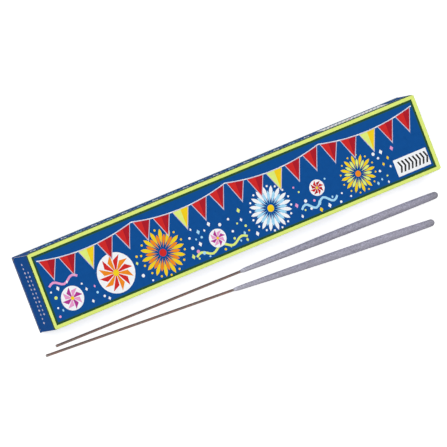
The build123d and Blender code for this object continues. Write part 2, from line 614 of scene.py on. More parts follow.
def windmill(x, y, radius, inks, sails):
    shapes = [(disc(x, y, radius, 32), inks[0])]
    step = 2 * math.pi / sails
    for i in range(sails):
        angle = 2 * math.pi * i / sails
        tip = polar(x, y, radius * SAIL_TIP, angle)
        heel = polar(x, y, radius * SAIL_HEEL, angle + step * SAIL_TURN)
        shapes.append(([(x, y), tip, heel], inks[1 + i % 2]))
    shapes.append((disc(x, y, radius * HEART), inks[3]))
    return shapes


# %% Bunting and streamer
STRING_WIDTH, FLAG_RIM = 0.35, 0.35
# A flag's half width as a share of the pitch, and how the rim widens at a flag's tip and head
FLAG_SHARE, TIP_RIM, HEAD_RIM = 0.44, 2.2, 0.6
WAVE_STEPS = 8


def swag(x0, x1, top, sag, count, drop, inks):
    def string(x):
        t = (x - x0) / (x1 - x0)
        return top - 4 * sag * t * (1 - t)

    path = [(x, string(x)) for x in np.linspace(x0, x1, 19)]
    shapes = [(ribbon(path, STRING_WIDTH), "white")]
    pitch = (x1 - x0) / count
    half = pitch * FLAG_SHARE
    for i in range(count):
        middle = x0 + pitch * (i + 0.5)
        lit, shaded = inks[i % len(inks)]
        layers = ((0, "lilac", False), (FLAG_RIM, lit, False), (FLAG_RIM, shaded, True))
        for shrink, ink, half_only in layers:
            left, right = middle - half + shrink, middle + half - shrink
            tip = (middle, string(middle) - drop + shrink * TIP_RIM)
            below = shrink * HEAD_RIM
            head = (middle, string(middle) - below)
            first = head if half_only else (left, string(left) - below)
            shapes.append(([first, tip, (right, string(right) - below)], ink))
    return shapes


def streamer(x0, x1, y, rise, waves, width, ink):
    path = []
    for t in np.linspace(0, 1, int(WAVE_STEPS * waves) + 1):
        path.append((x0 + (x1 - x0) * t, y + rise * math.sin(2 * math.pi * waves * t)))
    return [(ribbon(path, width), ink)]


# %% [markdown]
# ## The sleeve of the carton
# The sleeve is one sheet that goes round: near side, front, far side, back and a glue flap inside the
# near side. Distances round it are measured on the printed face, from the cut edge at the near back
# corner, and the print is laid out on the same flat sheet. The outside sizes come from the frame, so
# that the board can't drift from the CAD model.


# %% Sleeve sizes
def cad_span(node):
    return [(round(low / MM, 2), round(high / MM, 2)) for low, high in zip(*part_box(node))]


(_, HALF_LENGTH), (_, HALF_WIDTH), (_, DEPTH) = cad_span("carton_sleeve")
(_, DUST_FACE), _, _ = cad_span("right_dust_flap_far")
FOLD_RADIUS = 0.6
SEAM_STEP = 0.1
CREASE_GAP = 0.08
FRONT_END = HALF_LENGTH - BOARD - CREASE_GAP
SIDE_END = DUST_FACE - BOARD - CREASE_GAP
GLUE_FLAP = 10.0
GLUE_MITRE = 8.0

flat_side = DEPTH - 2 * FOLD_RADIUS
flat_front = 2 * (HALF_WIDTH - FOLD_RADIUS)
seam_run = DEPTH - FOLD_RADIUS - SEAM_STEP
sleeve_walk, stops = folded(
    (-HALF_WIDTH, SEAM_STEP),
    (0, 1),
    (seam_run, flat_front, flat_side, flat_front - BOARD, GLUE_FLAP),
    FOLD_RADIUS,
)
near_side, fold_1, front, fold_2, far_side, fold_3, back, fold_4, glue_flap = stops
print("round the sleeve:", round(glue_flap[1], 2), "mm of board")

# %% [markdown]
# Front and back have a blue field with a border of lime ink. Where the lime overprints the edge of the
# blue, the two inks make a narrow dark green line, which printers call a trap.

# %% Bordered field
LONG_BORDER, LEFT_BORDER, RIGHT_BORDER = 1.2, 1.1, 1.45
TRAP = 0.8


def bordered_field(half_y):
    shapes = [(bar(-HALF_LENGTH, HALF_LENGTH, -half_y, half_y), "lime")]
    for inset, ink in ((0, "green"), (TRAP, "blue")):
        left, right = -HALF_LENGTH + LEFT_BORDER + inset, HALF_LENGTH - RIGHT_BORDER - inset
        height = half_y - LONG_BORDER - inset
        shapes.append((bar(left, right, -height, height), ink))
    return shapes


# %% Artwork of the front
# Each motif: its middle, its radius, the radius kept free of confetti, its inks and how many rays
BLOOMS = (
    (-30, -3.4, 8.2, 9.2, ("gold", "orange", "red"), 14),
    (12.5, -3.6, 7.8, 8.8, ("white", "sky", "gold"), 16),
    (47, -4.2, 6.6, 7.4, ("gold", "lime", "orange"), 12),
)
WINDMILLS = (
    (-48.5, -3.6, 7.0, 7.8, ("white", "red", "orange", "gold"), 12),
    (-66.5, -5.8, 4.2, 5.0, ("white", "magenta", "pink", "gold"), 8),
    (-9.5, -6.0, 3.2, 4.0, ("white", "magenta", "pink", "gold"), 8),
    (31, -3.2, 2.8, 3.6, ("white", "red", "crimson", "gold"), 8),
)
# Each streamer: from and to along the carton, its height, its rise, its waves, its width and its ink
STREAMERS = (
    (-19, 1, -9.3, 0.9, 2.5, 0.8, "lime"),
    (23, 37, -8.2, 1.2, 2.0, 0.8, "sky"),
    (-73, -62, 0.6, 0.9, 1.5, 0.8, "pink"),
)
SWAG, SWAG_STARTS = 37, (-74, -37, 0, 37)
SWAG_SAG, SWAG_FLAGS, FLAG_DROP = 2.3, 5, 7.6
FRONT_STRING, BACK_STRING = 10.3, 10.1
FLAG_INKS = (("red", "crimson"), ("red", "crimson"), ("lime", "gold"))
PATCH, PATCH_CLEAR = bar(60.6, 73.5, -10.7, -4.7), (67, -7.7, 7.6)
CHEVRON = ((0, -9.7), (0.8, -7.7), (0, -5.7), (0.7, -5.7), (1.5, -7.7), (0.7, -9.7))
CHEVRON_FIRST, CHEVRON_PITCH, CHEVRONS = 61.8, 1.45, 8


def bunting(top):
    shapes = []
    for x0 in SWAG_STARTS:
        shapes += swag(x0, x0 + SWAG, top, SWAG_SAG, SWAG_FLAGS, FLAG_DROP, FLAG_INKS)
    return shapes


front_middle = sum(front) / 2
crease_half = (sum(fold_2) - sum(fold_1)) / 4
art = bordered_field(crease_half)
for settings in STREAMERS:
    art += streamer(*settings)
for x, y, radius, _, inks, rays in BLOOMS:
    art += bloom(x, y, radius, inks, rays)
for x, y, radius, _, inks, rays in WINDMILLS:
    art += windmill(x, y, radius, inks, rays)
art += bunting(FRONT_STRING)
art.append((PATCH, "white"))
for i in range(CHEVRONS):
    x = CHEVRON_FIRST + CHEVRON_PITCH * i
    art.append(([(x + ahead, y) for ahead, y in CHEVRON], "black"))
print(len(art), "printed shapes on the front")

# %% Confetti between the motifs
FIELD_END, FIELD_HALF = 73.4, 10.8
FLAG_LEVEL = 0.2
TRIES, CONFETTI_GAP = 900, 1.0
CONFETTI_SIZES = (0.35, 0.45, 0.6)
SLIP_WIDTH, SLIP_HEIGHT, ROUND_SHARE = 2.2, 3, 0.5
CONFETTI_INKS = ("white", "white", "sky", "lime", "pink", "gold")

draw = random.Random(15)
taken = [(x, y, clear) for x, y, _, clear, _, _ in BLOOMS + WINDMILLS] + [PATCH_CLEAR]
placed = 0
for _ in range(TRIES):
    x, y = draw.uniform(-FIELD_END, FIELD_END), draw.uniform(-FIELD_HALF, FIELD_HALF)
    size = draw.choice(CONFETTI_SIZES)
    among_flags = y > FLAG_LEVEL
    if among_flags or any(math.hypot(x - a, y - b) < r + size for a, b, r in taken):
        continue
    taken.append((x, y, size + CONFETTI_GAP))
    ink = draw.choice(CONFETTI_INKS)
    round_one = draw.random() < ROUND_SHARE
    slip = lozenge(x, y, size * SLIP_WIDTH, size * SLIP_HEIGHT)
    shape = disc(x, y, size, 10) if round_one else slip
    art.append((shape, ink))
    placed += 1
print(placed, "pieces of confetti")

# %% [markdown]
# The side panels carry a plain row of lozenges, and so does the back, on a white panel. The lime of the
# front wraps round the near fold, and at the far fold it overprints the side's navy.


# %% Artwork of the sides and the back
STRIPE_AT, STRIPE_HALF = 4.6, 0.2
ROW_FIRST, ROW_PITCH, ROW_COUNT = -71, 6, 19
ROW_LOZENGE, ROW_HEART = (2.4, 4.4), (1.2, 2.2)
SIDE_DOT, SIDE_DOT_AT = 0.5, 2.2
SIDE_PATCH = bar(42.5, 68, -4, 4)
CHECK_FIRST, CHECK_PITCH, CHECK_COUNT = 44.4, 1.55, 15
CHECK_ROWS, CHECK = (2.4, 0.8, -0.8, -2.4), (0.8, 1.1)
BACK_PATCH = bar(-58, 58, -9.5, -1.5)
BACK_FIRST, BACK_PITCH, BACK_COUNT = -54, 3, 37
BACK_ROWS, BACK_LOZENGE = (-3.1, -5.5, -7.9), (1.3, 1.7)


def side_art(half):
    shapes = [(bar(-HALF_LENGTH, HALF_LENGTH, -half, half), "navy")]
    for y in (-STRIPE_AT, STRIPE_AT):
        stripe = bar(-HALF_LENGTH, HALF_LENGTH, y - STRIPE_HALF, y + STRIPE_HALF)
        shapes.append((stripe, "lime"))
    for i in range(ROW_COUNT):
        x = ROW_FIRST + ROW_PITCH * i
        shapes.append((lozenge(x, 0, *ROW_LOZENGE), "sky" if i % 2 else "white"))
        shapes.append((lozenge(x, 0, *ROW_HEART), "navy"))
        for y in (SIDE_DOT_AT, -SIDE_DOT_AT):
            shapes.append((disc(x + ROW_PITCH / 2, y, SIDE_DOT, 10), "lilac"))
    shapes.append((SIDE_PATCH, "white"))
    for row, y in enumerate(CHECK_ROWS):
        odd = row % 2
        for i in range(CHECK_COUNT - odd):
            x = CHECK_FIRST + CHECK_PITCH * (i + odd / 2)
            shapes.append((lozenge(x, y, *CHECK), "red" if (i + row) % 5 == 2 else "navy"))
    return shapes


def shifted(shapes, v):
    return [([(x, y + v) for x, y in polygon], ink) for polygon, ink in shapes]


back_half = (sum(fold_4) - sum(fold_3)) / 4
back_art = bordered_field(back_half) + bunting(BACK_STRING) + [(BACK_PATCH, "white")]
for row, y in enumerate(BACK_ROWS):
    for i in range(BACK_COUNT):
        ink = ("red", "blue", "blue")[(i + row) % 3]
        back_art.append((lozenge(BACK_FIRST + BACK_PITCH * i, y, *BACK_LOZENGE), ink))

near_half = sum(fold_1) / 4
far_half = (sum(fold_3) - sum(fold_2)) / 4
near_mid, far_mid = sum(fold_1) / 2, sum(fold_2) / 2
sheet_art = shifted(side_art(near_half), near_half)
sheet_art += shifted(art, front_middle)
sheet_art += shifted(side_art(far_half), sum(far_side) / 2)
sheet_art += shifted(back_art, sum(fold_3) / 2 + back_half)
sheet_art += [(bar(-HALF_LENGTH, HALF_LENGTH, fold_1[0], near_mid), "lime")]
sheet_art += [(bar(-HALF_LENGTH, HALF_LENGTH, far_mid, far_mid + 2 * TRAP), "green")]
print(len(sheet_art), "printed shapes on the sheet")

# %% Outline of the sleeve's sheet
right_edge = [
    (HALF_LENGTH, 0),
    (HALF_LENGTH, FOLD_RADIUS - SEAM_STEP),
    (SIDE_END, FOLD_RADIUS - SEAM_STEP),
    (SIDE_END, near_side[1]),
    (FRONT_END, near_side[1]),
    (FRONT_END, far_side[0]),
    (SIDE_END, far_side[0]),
    (SIDE_END, far_side[1]),
    (HALF_LENGTH, far_side[1]),
    (HALF_LENGTH, glue_flap[0]),
    (HALF_LENGTH - GLUE_MITRE, glue_flap[1]),
]
sleeve_outline = right_edge + [(-u, v) for u, v in reversed(right_edge)]
fold_ends = {fold_1: FRONT_END, fold_2: FRONT_END, fold_3: HALF_LENGTH, fold_4: HALF_LENGTH}
FOLD_STEPS = 6
sleeve_guides = []
for (begin, finish), end in fold_ends.items():
    for v in np.linspace(begin, finish, FOLD_STEPS + 1):
        sleeve_guides.append([(u, v) for u in np.linspace(-end, end, 40)])
print(len(sleeve_guides), "guide lines round the folds")

# %% [markdown]
# Board never lies quite flat: each panel is dished a little between its folds. The dish goes inward, so
# that the carton keeps its outside size.

# %% Sleeve
DISH = 0.16
FOLD_WEAR, END_WEAR = 0.9, 1.2
panels = (near_side, front, far_side, back)


def sleeve_place(u, v, depth):
    for low, high in panels:
        if low < v < high:
            t = (v - low) / (high - low)
            depth += DISH * 4 * t * (1 - t) * (1 - (u / HALF_LENGTH) ** 4)
    y, z = sleeve_walk(v, depth)
    return u, y, z


def sleeve_wear(u, v):
    from_fold = min(abs(v - (low + high) / 2) for low, high in fold_ends)
    from_end = HALF_LENGTH - abs(u)
    return max(0.0, 1 - from_fold / FOLD_WEAR, 0.8 - from_end / END_WEAR)


sheet = cut_sheet(sleeve_outline, "white", sheet_art, sleeve_guides, lattice=4.0)
sleeve = board_piece(
    "carton_sleeve_board", sheet, sleeve_place, wear=sleeve_wear, edge_ink="navy"
)
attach(sleeve, "carton")
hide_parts("carton_sleeve")
print("sleeve:", len(sleeve.data.polygons), "faces")

# %% [markdown]
# ## End closures
# At each end a flap hangs from the front panel, and its lower edge goes on as a tuck flap that slides in
# over the back panel. Behind it, a mitred dust flap turns in from each side panel. Each is a piece of
# board of its own here, because each turns on its own crease. Ink runs on a little past a crease, as
# printers let it, and the rest of a hidden flap is bare white coating.


# %% Rounded corners for die-cut flaps
def rounded(polygon, radii, steps=6):
    corners = []
    for i, radius in enumerate(radii):
        here = Vector(polygon[i])
        if radius == 0:
            corners.append(tuple(here))
            continue
        back = (Vector(polygon[i - 1]) - here).normalized()
        ahead = (Vector(polygon[(i + 1) % len(polygon)]) - here).normalized()
        half = back.angle(ahead) / 2
        centre = here + (back + ahead).normalized() * radius / math.sin(half)
        first = here + back * radius / math.tan(half) - centre
        last = here + ahead * radius / math.tan(half) - centre
        for t in np.linspace(0, 1, steps + 1):
            corners.append(tuple(centre + (first * (1 - t) + last * t).normalized() * radius))
    return corners


# %% Mirror images
# Each flap is worked out for the right end and the far side. The others are its mirror images.
ENDS = {"left": -1, "right": 1}
SIDES = {"near": -1, "far": 1}


def mirrored(place, sign, way=1):
    def image(*spot):
        x, y, z = place(*spot)
        return sign * x, way * y, z

    return image


# %% End flaps
CREASE_RADIUS, AFTER_CREASE = 0.2, 0.1
_, (_, FLAP_HALF), (FLAP_FOOT, _) = cad_span("right_end_flap")
FLAP_TOP = DEPTH - CREASE_RADIUS - AFTER_CREASE
FLAP_WEAR = 0.8
# Each row of lozenges: how far below the crease, and where it begins
END_ROWS, END_PITCH = ((4.4, -7.5), (7.4, -10.5)), 1.5
END_WIDTH, END_LOW, END_TALL = 0.9, 1.1, 1.7
flap_run = FLAP_TOP - FLAP_FOOT

end_art = [(bar(-FLAP_HALF, FLAP_HALF, 0, TRAP), "green")]
for row, first in END_ROWS:
    for i in range(int(-2 * first / END_PITCH) + 1):
        height = END_LOW if i % 3 else END_TALL
        end_art.append((lozenge(first + END_PITCH * i, row, END_WIDTH, height), "lilac"))
flap_sheet = cut_sheet(bar(-FLAP_HALF, FLAP_HALF, 0, flap_run), "navy", end_art, lattice=3.0)


def flap_place(u, v, depth):
    return HALF_LENGTH - depth, u, FLAP_TOP - v


def flap_wear(u, v):
    from_crease = min(v, flap_run - v)
    from_side = FLAP_HALF - abs(u)
    return max(0.0, 0.9 - from_crease / FLAP_WEAR, 0.6 - from_side / FLAP_WEAR)


for end, sign in ENDS.items():
    place = mirrored(flap_place, sign)
    flap = board_piece(f"{end}_end_flap_board", flap_sheet, place, wear=flap_wear)
    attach(flap, f"{end}_end_flap_body")
    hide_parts(f"{end}_end_flap")
print("end flaps:", len(flap.data.polygons), "faces each")

# %% Tuck flaps
(TUCK_TIP, _), (_, TUCK_HALF), (TUCK_FACE, _) = cad_span("right_tuck_flap")
TUCK_SETBACK = 0.5
TUCK_START = HALF_LENGTH - TUCK_SETBACK
TUCK_INK, TUCK_CORNER = 1.8, 2.5
tuck_run = TUCK_START - TUCK_TIP
tuck_outline = rounded(bar(-TUCK_HALF, TUCK_HALF, 0, tuck_run), (0, 0, TUCK_CORNER, TUCK_CORNER))
tuck_art = [(bar(-TUCK_HALF - 1, TUCK_HALF + 1, -1, TUCK_INK), "navy")]
tuck_sheet = cut_sheet(tuck_outline, "white", tuck_art, lattice=3.0)


def tuck_place(u, v, depth):
    return TUCK_START - v, u, TUCK_FACE + depth


for end, sign in ENDS.items():
    tuck = board_piece(f"{end}_tuck_flap_board", tuck_sheet, mirrored(tuck_place, sign))
    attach(tuck, f"{end}_tuck_flap_body")
    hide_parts(f"{end}_tuck_flap")
print("tuck flaps:", len(tuck.data.polygons), "faces each")

# %% [markdown]
# On the dust flaps a printer leaves small dots of the four process inks, to check the colours by. They
# are on the trimmed sheet of many cartons and show only when the end is open.

# %% Dust flaps
_, (dust_reach, _), (DUST_LOW, DUST_HIGH) = cad_span("right_dust_flap_far")
DUST_HINGE = HALF_WIDTH - CREASE_RADIUS
DUST_START, DUST_TIP = AFTER_CREASE, DUST_HINGE - dust_reach
LOW_SLOPE, HIGH_SLOPE = 0.16, 0.72
DUST_INK, DUST_CORNER = 2.2, 0.8
DOT_FIRST, DOT_PITCH, DOT_V, DOT_RADIUS = 4.3, 1.1, 4.4, 0.42


def dust_edge(v):
    return DUST_LOW + LOW_SLOPE * v, DUST_HIGH - HIGH_SLOPE * v


(low_0, high_0), (low_1, high_1) = dust_edge(DUST_START), dust_edge(DUST_TIP)
dust_outline = rounded(
    [(low_0, DUST_START), (high_0, DUST_START), (high_1, DUST_TIP), (low_1, DUST_TIP)],
    (0, 0, DUST_CORNER, DUST_CORNER),
)
dust_art = [(bar(0, DEPTH, 0, DUST_INK), "navy")]
for i, ink in enumerate(("cyan", "magenta", "yellow", "black")):
    dust_art.append((disc(DOT_FIRST + DOT_PITCH * i, DOT_V, DOT_RADIUS), ink))
dust_sheet = cut_sheet(dust_outline, "white", dust_art, lattice=3.0)


def dust_place(u, v, depth):
    return DUST_FACE - depth, DUST_HINGE - v, u


for end, sign in ENDS.items():
    for side, way in SIDES.items():
        place = mirrored(dust_place, sign, way)
        dust = board_piece(f"{end}_dust_flap_{side}_board", dust_sheet, place)
        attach(dust, f"{end}_dust_flap_{side}_body")
        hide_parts(f"{end}_dust_flap_{side}")
print("dust flaps:", len(dust.data.polygons), "faces each")

# %% [markdown]
# ## Creases
# At a crease the printed outer ply runs on from one panel to the next. That ply is a thin strip here,
# made in the folded shape of the closed carton. The fold above the tuck flap sags until it nearly lies on
# the back panel.

# %% Crease strips
PLY, CREASE_WEAR = 0.15, 0.85
FOLD_X = HALF_LENGTH - CREASE_RADIUS
BEFORE_CREASE = FOLD_X - FRONT_END
SAG_Z = 0.5
HINGE_Z = 7.5


def upright(u, spot):
    return spot.x, u, spot.y


def sagging(u, spot):
    rise = max(0.0, FOLD_X - spot.x) / (FOLD_X - TUCK_START)
    return spot.x, u, spot.y + rise * (TUCK_FACE - SAG_Z)


def sideways(u, spot):
    return spot.x, spot.y, u


# Each crease: its fold, its two ends, its place, where the blend starts and ends, and its inks
runs = (BEFORE_CREASE, AFTER_CREASE)
sag_runs = (FLAP_FOOT - SAG_Z - CREASE_RADIUS, FOLD_X - TUCK_START)
end_crease = (
    folded((FRONT_END, DEPTH), (1, 0), runs, CREASE_RADIUS),
    (-FLAP_HALF, FLAP_HALF),
    upright,
    ((FOLD_X, 0, DEPTH), (HALF_LENGTH, 0, DEPTH - CREASE_RADIUS)),
    ("lime", "green"),
)
tuck_crease = (
    folded((HALF_LENGTH, FLAP_FOOT), (0, -1), sag_runs, CREASE_RADIUS),
    (-TUCK_HALF, TUCK_HALF),
    sagging,
    ((HALF_LENGTH, 0, SAG_Z + CREASE_RADIUS), (TUCK_START, 0, TUCK_FACE)),
    ("navy", "navy"),
)
dust_crease = (
    folded((SIDE_END, HALF_WIDTH), (1, 0), runs, CREASE_RADIUS),
    (low_0, high_0),
    sideways,
    ((SIDE_END + BEFORE_CREASE, HALF_WIDTH, HINGE_Z), (DUST_FACE, DUST_HINGE, HINGE_Z)),
    ("navy", "navy"),
)


# %% Make the creases
def crease_strip(name, crease, sign, way=1):
    (walk, stops), (low, high), place, blend, inks = crease
    _, turn, after = stops
    outline = bar(low, high, 0, after[1])
    shapes = [(bar(low - 1, high + 1, -1, sum(turn) / 2), inks[0])]
    guides = []
    for v in np.linspace(turn[0], turn[1], FOLD_STEPS + 1):
        guides.append([(u, v) for u in np.linspace(low, high, 8)])
    sheet = cut_sheet(outline, inks[1], shapes, guides)

    def bent(u, v, depth):
        return place(u, walk(v, depth))

    def worn(u, v):
        return CREASE_WEAR

    strip = board_piece(name, sheet, mirrored(bent, sign, way), PLY, wear=worn)
    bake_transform(strip)


for end, sign in ENDS.items():
    crease_strip(f"{end}_end_flap_crease", end_crease, sign)
    crease_strip(f"{end}_tuck_flap_crease", tuck_crease, sign)
    for side, way in SIDES.items():
        dust = f"{end}_dust_flap_{side}"
        crease_strip(f"{dust}_crease", dust_crease, sign, way)

# %% [markdown]
# ## Sparkler coat
# The head of a sparkler is made by dipping the wire into a slurry of nitrate, aluminium powder, iron
# filings and dextrin paste, and letting it dry, several times over. It dries to a dull grey with a cool
# cast, gritty, with a few bright metal grains, paler at the thin neck and a little darker towards the
# tip. The side of the coat toward the carton is painted paler, as painted light, and the side away from
# it darker, as painted shade, to make up for the shade that the carton throws on that side. The grains
# are drawn larger than real filings, so that they show.

# %% Colour of the dried dip
GRAIN_MM = 0.5
CLOUD_MM = 3.5

dried_dip, tree = start_material("dried_metal_powder_dip")
where = add_node(tree, "ShaderNodeTexCoord").outputs["Object"]
along_dip = add_node(tree, "ShaderNodeAttribute", attribute_name="along_dip")
base = add_node(tree, "ShaderNodeValToRGB", {"Fac": along_dip.outputs["Fac"]})
base.color_ramp.elements[0].color = linear("#b9b7c3")
base.color_ramp.elements[1].color = linear("#85848d")
for position, colour in ((0.06, "#a8a6b3"), (0.3, "#9f9dac"), (0.94, "#9b99a9")):
    base.color_ramp.elements.new(position).color = linear(colour)
grain = add_node(
    tree,
    "ShaderNodeTexNoise",
    {"Vector": where, "Scale": 1 / (GRAIN_MM * MM), "Detail": 4.0, "Roughness": 0.6},
)
cloud = add_node(
    tree, "ShaderNodeTexNoise", {"Vector": where, "Scale": 1 / (CLOUD_MM * MM), "Detail": 2.0}
)
grain_tone = add_node(
    tree,
    "ShaderNodeMapRange",
    {
        "Value": grain.outputs["Fac"],
        "From Min": 0.25,
        "From Max": 0.75,
        "To Min": 0.6,
        "To Max": 1.4,
    },
)
cloud_tone = add_node(
    tree,
    "ShaderNodeMapRange",
    {"Value": cloud.outputs["Fac"], **NOISE_SPAN, "To Min": 0.93, "To Max": 1.07},
)
# Painted light and shade: the coat's side toward the carton is painted paler, the side away from it darker
salt_bloom = add_node(tree, "ShaderNodeAttribute", attribute_name="salt_bloom")
painted_light_tone = add_node(
    tree,
    "ShaderNodeMapRange",
    {"Value": salt_bloom.outputs["Fac"], "To Min": 0.83, "To Max": 1.27},
)
dusty = base.outputs["Color"]
for tone in (grain_tone, cloud_tone, painted_light_tone):
    settings = {0: dusty, "Scale": tone.outputs["Result"]}
    dusty = add_node(tree, "ShaderNodeVectorMath", settings, operation="SCALE").outputs[0]
print("grain, mm:", GRAIN_MM)

# %% Bright filings
FLECK_MM = 0.15
FLECK_SHARE = 0.04

cells = add_node(tree, "ShaderNodeTexVoronoi", {"Vector": where, "Scale": 1 / (FLECK_MM * MM)})
chance = add_node(tree, "ShaderNodeSeparateColor", {"Color": cells.outputs["Color"]})
pair = {0: chance.outputs["Red"], 1: 1 - FLECK_SHARE}
fleck = add_node(tree, "ShaderNodeMath", pair, operation="GREATER_THAN")
flecked = add_node(
    tree,
    "ShaderNodeMix",
    {
        MIX_FACTOR: fleck.outputs[0],
        MIX_FIRST: dusty,
        MIX_SECOND: linear("#8e8e97"),
    },
    data_type="RGBA",
)
polish = add_node(
    tree,
    "ShaderNodeMapRange",
    {"Value": fleck.outputs[0], "To Min": 0.85, "To Max": 0.5},
)
print("share of bright grains:", FLECK_SHARE)

# %% Gritty surface
grit = add_node(
    tree,
    "ShaderNodeBump",
    {"Height": grain.outputs["Fac"], "Strength": 0.9, "Distance": 0.09 * MM},
)
surface = add_node(
    tree,
    "ShaderNodeBsdfPrincipled",
    {
        "Base Color": flecked.outputs[MIX_RESULT],
        "Metallic": fleck.outputs[0],
        "Roughness": polish.outputs["Result"],
        "Specular IOR Level": 0.3,
        "Normal": grit.outputs["Normal"],
    },
)
add_node(tree, "ShaderNodeOutputMaterial", {"Surface": surface.outputs[0]})
print("made", dried_dip.name)

# %% [markdown]
# ## Sparkler wire
# The core is mild-steel wire, drawn through dies and given a thin copper wash against rust. Drawing
# leaves fine lines along it, here drawn twice as coarse, and the wash is patchy: brown copper with grey
# steel coming through. Only the sheared end is bare steel.

# %% Copper wash
PATCH_MM = 5.0

copper_wash, tree = start_material("copper_washed_drawn_steel_wire")
where = add_node(tree, "ShaderNodeTexCoord").outputs["Object"]
patch = add_node(
    tree,
    "ShaderNodeTexNoise",
    {"Vector": where, "Scale": 1 / (PATCH_MM * MM), "Detail": 4.0, "Roughness": 0.6},
)
wash = add_node(
    tree,
    "ShaderNodeMapRange",
    {"Value": patch.outputs["Fac"], "From Min": 0.35, "From Max": 0.65},
)
metal = add_node(
    tree,
    "ShaderNodeMix",
    {
        MIX_FACTOR: wash.outputs["Result"],
        MIX_FIRST: linear("#886b62"),
        MIX_SECOND: linear("#7a6e69"),
    },
    data_type="RGBA",
)
print("patches of bare steel, mm:", PATCH_MM)

# %% Lines of the drawing die
DRAW_LINE_MM = 0.12
LINE_STRETCH = 50

stretched = add_node(
    tree, "ShaderNodeVectorMath", {0: where, 1: (1 / LINE_STRETCH, 1, 1)}, operation="MULTIPLY"
)
lines = add_node(
    tree,
    "ShaderNodeTexNoise",
    {"Vector": stretched.outputs[0], "Scale": 1 / (DRAW_LINE_MM * MM), "Detail": 2.0},
)
dull = add_node(
    tree,
    "ShaderNodeMapRange",
    {"Value": lines.outputs["Fac"], **NOISE_SPAN, "To Min": 0.34, "To Max": 0.56},
)
scored = add_node(
    tree,
    "ShaderNodeBump",
    {"Height": lines.outputs["Fac"], "Strength": 0.25, "Distance": 0.02 * MM},
)
surface = add_node(
    tree,
    "ShaderNodeBsdfPrincipled",
    {
        "Base Color": metal.outputs[MIX_RESULT],
        "Metallic": 1.0,
        "Roughness": dull.outputs["Result"],
        "Normal": scored.outputs["Normal"],
    },
)
add_node(tree, "ShaderNodeOutputMaterial", {"Surface": surface.outputs[0]})
print("made", copper_wash.name)

# %% Sheared end
TEAR_MM = 0.1

sheared_steel, tree = start_material("sheared_steel_end")
where = add_node(tree, "ShaderNodeTexCoord").outputs["Object"]
tear = add_node(
    tree, "ShaderNodeTexNoise", {"Vector": where, "Scale": 1 / (TEAR_MM * MM), "Detail": 3.0}
)
rough = add_node(
    tree,
    "ShaderNodeMapRange",
    {"Value": tear.outputs["Fac"], "To Min": 0.3, "To Max": 0.7},
)
surface = add_node(
    tree,
    "ShaderNodeBsdfPrincipled",
    {"Base Color": linear("#8d8a88"), "Metallic": 1.0, "Roughness": rough.outputs["Result"]},
)
add_node(tree, "ShaderNodeOutputMaterial", {"Surface": surface.outputs[0]})
print("made", sheared_steel.name)

# %% [markdown]
# ## Shape of a sparkler
# Wire and coat are both skins over a row of rings along the sparkler's line: the bare handle, a slight
# bend where the coat begins, then the head. A plain cylinder would do from afar, but rings let the coat
# swell and carry the lumps of a hand-dipped stick. The lumps only take away from the CAD shape.

# %% Line of a sparkler
HANDLE, HEAD = 72.0, 78.0
WIRE_RADIUS = 0.45
BEND_RADIUS = 20.0
TIP_COVER = 0.9
COAT_NECK, NECK_RADIUS, LIP_RADIUS = 1.5, 0.8, 0.48
SWELL_AT, SWELL_RADIUS, TIP_RADIUS = 56.0, 1.5, 1.27


def sparkler_line(distance, bend):
    straight = HANDLE - BEND_RADIUS * bend
    if distance <= straight:
        return Vector((distance, 0, 0)), 0.0
    turned = min(bend, (distance - straight) / BEND_RADIUS)
    place = Vector(
        (straight + BEND_RADIUS * math.sin(turned), -BEND_RADIUS * (1 - math.cos(turned)), 0)
    )
    beyond = max(0.0, distance - HANDLE)
    return place + Vector((math.cos(turned), -math.sin(turned), 0)) * beyond, turned


def coat_radius(s):
    if s < COAT_NECK:
        return LIP_RADIUS + (NECK_RADIUS - LIP_RADIUS) * s / COAT_NECK
    if s < SWELL_AT:
        short = (SWELL_AT - s) / (SWELL_AT - COAT_NECK)
        return SWELL_RADIUS - (SWELL_RADIUS - NECK_RADIUS) * short**2
    shoulder = HEAD - TIP_RADIUS
    if s < shoulder:
        past = (s - SWELL_AT) / (shoulder - SWELL_AT)
        return SWELL_RADIUS - (SWELL_RADIUS - TIP_RADIUS) * past**2
    return math.sqrt(max(0.0, TIP_RADIUS**2 - (s - shoulder) ** 2))


print("coat radius at the swell:", coat_radius(SWELL_AT), "mm")


# %% Skin over rings
SHARP_END = math.radians(50)


def turns_of(count):
    return [2 * math.pi * i / count for i in range(count)]


def skin(name, rings, finishes, place):
    count = len(rings[0])
    points = [place @ (Vector(p) * MM) for ring in rings for p in ring]
    faces = []
    for r in range(len(rings) - 1):
        here, ahead = r * count, (r + 1) * count
        for i in range(count):
            j = (i + 1) % count
            faces.append((here + i, here + j, ahead + j, ahead + i))
    first_cap = len(faces)
    faces.append(tuple(reversed(range(count))))
    faces.append(tuple(range(len(points) - count, len(points))))
    mesh = bpy.data.meshes.new(name)
    mesh.from_pydata(points, [], faces)
    for finish in finishes:
        mesh.materials.append(finish)
    mesh.polygons[first_cap].material_index = len(finishes) - 1
    mesh.shade_smooth()
    mesh.set_sharp_from_angle(angle=SHARP_END)
    piece = bpy.data.objects.new(name, mesh)
    scene.collection.objects.link(piece)
    return piece


# %% Wire
# The shears flatten the last bit of the wire, leave its end aslant and push up a burr behind it
SHEAR_REACH, SHEAR_SLANT, SHEAR_TRIM = 1.2, 0.14, 0.93
SHEAR_SPREAD, SHEAR_FLATTEN = 0.04, 0.1
BURR_AT, BURR_PUSH = 0.12, 0.1


